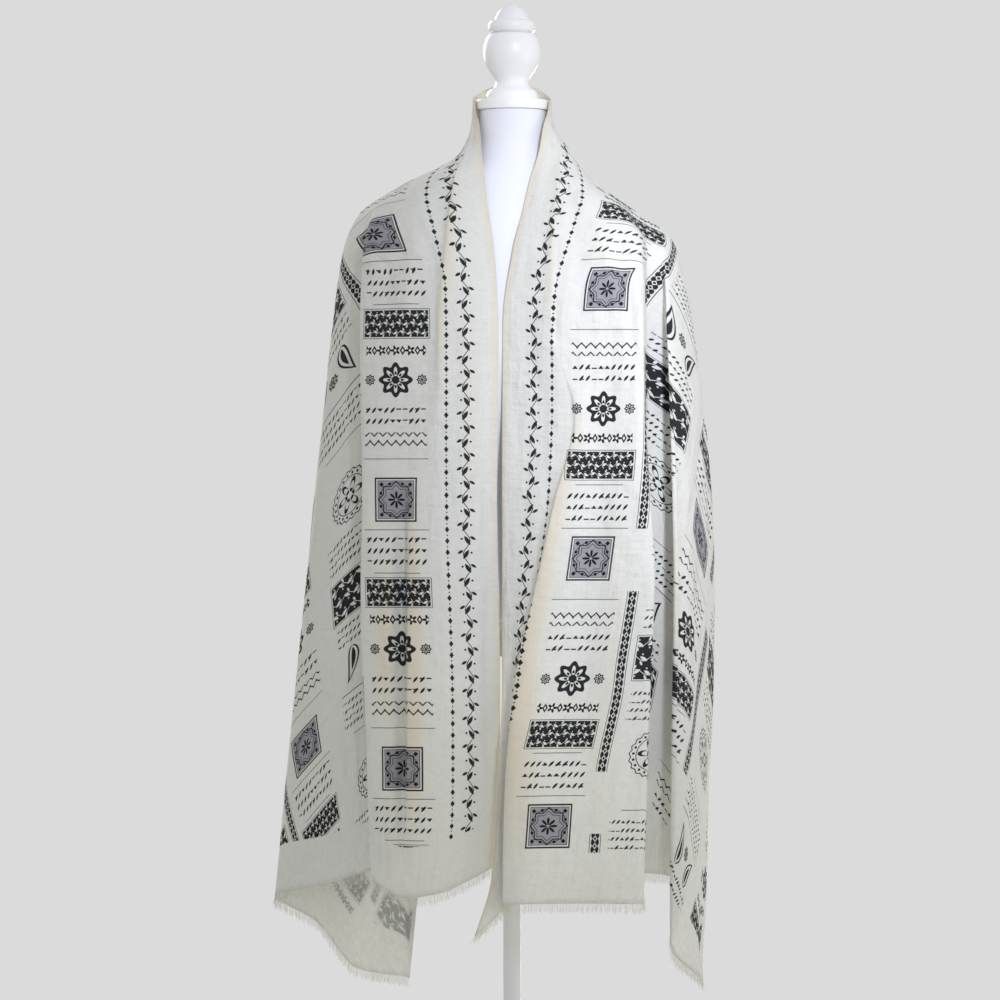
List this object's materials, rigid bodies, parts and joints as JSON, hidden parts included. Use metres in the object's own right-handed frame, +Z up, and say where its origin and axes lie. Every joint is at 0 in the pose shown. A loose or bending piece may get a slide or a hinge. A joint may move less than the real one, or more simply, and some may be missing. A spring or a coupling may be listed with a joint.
{
  "type": "prayer shawl on a limbless dress form",
  "caption": "Long thin fringed prayer shawl draped like an open cape over a limbless dress form with a turned neck finial, a pole and a round base.",
  "frame": {"origin": "centre of the underside of the stand's round base", "axes": "+Z up along the pole, the shawl's open front faces -Y, the wearer's right side is at -X"},
  "size_m": [0.5484, 0.38, 1.6],
  "materials": {
    "shawl_cloth": "thin slubbed plain weave, cream white with a dark blue-black print",
    "frayed_ends": "loose frayed warp threads",
    "form_fabric": "smooth close jersey, pale",
    "painted_wood": "turned, white satin paint",
    "white_metal": "white powder coat"
  },
  "bodies": {
    "root": {"left_front": "shawl_cloth", "left_side": "shawl_cloth", "back_fall": "shawl_cloth", "right_side": "shawl_cloth", "right_front": "shawl_cloth", "left_front_fringe": "frayed_ends", "left_side_fringe": "frayed_ends", "right_side_fringe": "frayed_ends", "right_front_fringe": "frayed_ends", "torso": "form_fabric", "neck_cap": "painted_wood", "finial": "painted_wood", "pole_socket": "white_metal", "pole": "white_metal", "base": "white_metal"}
  },
  "joints": []
}
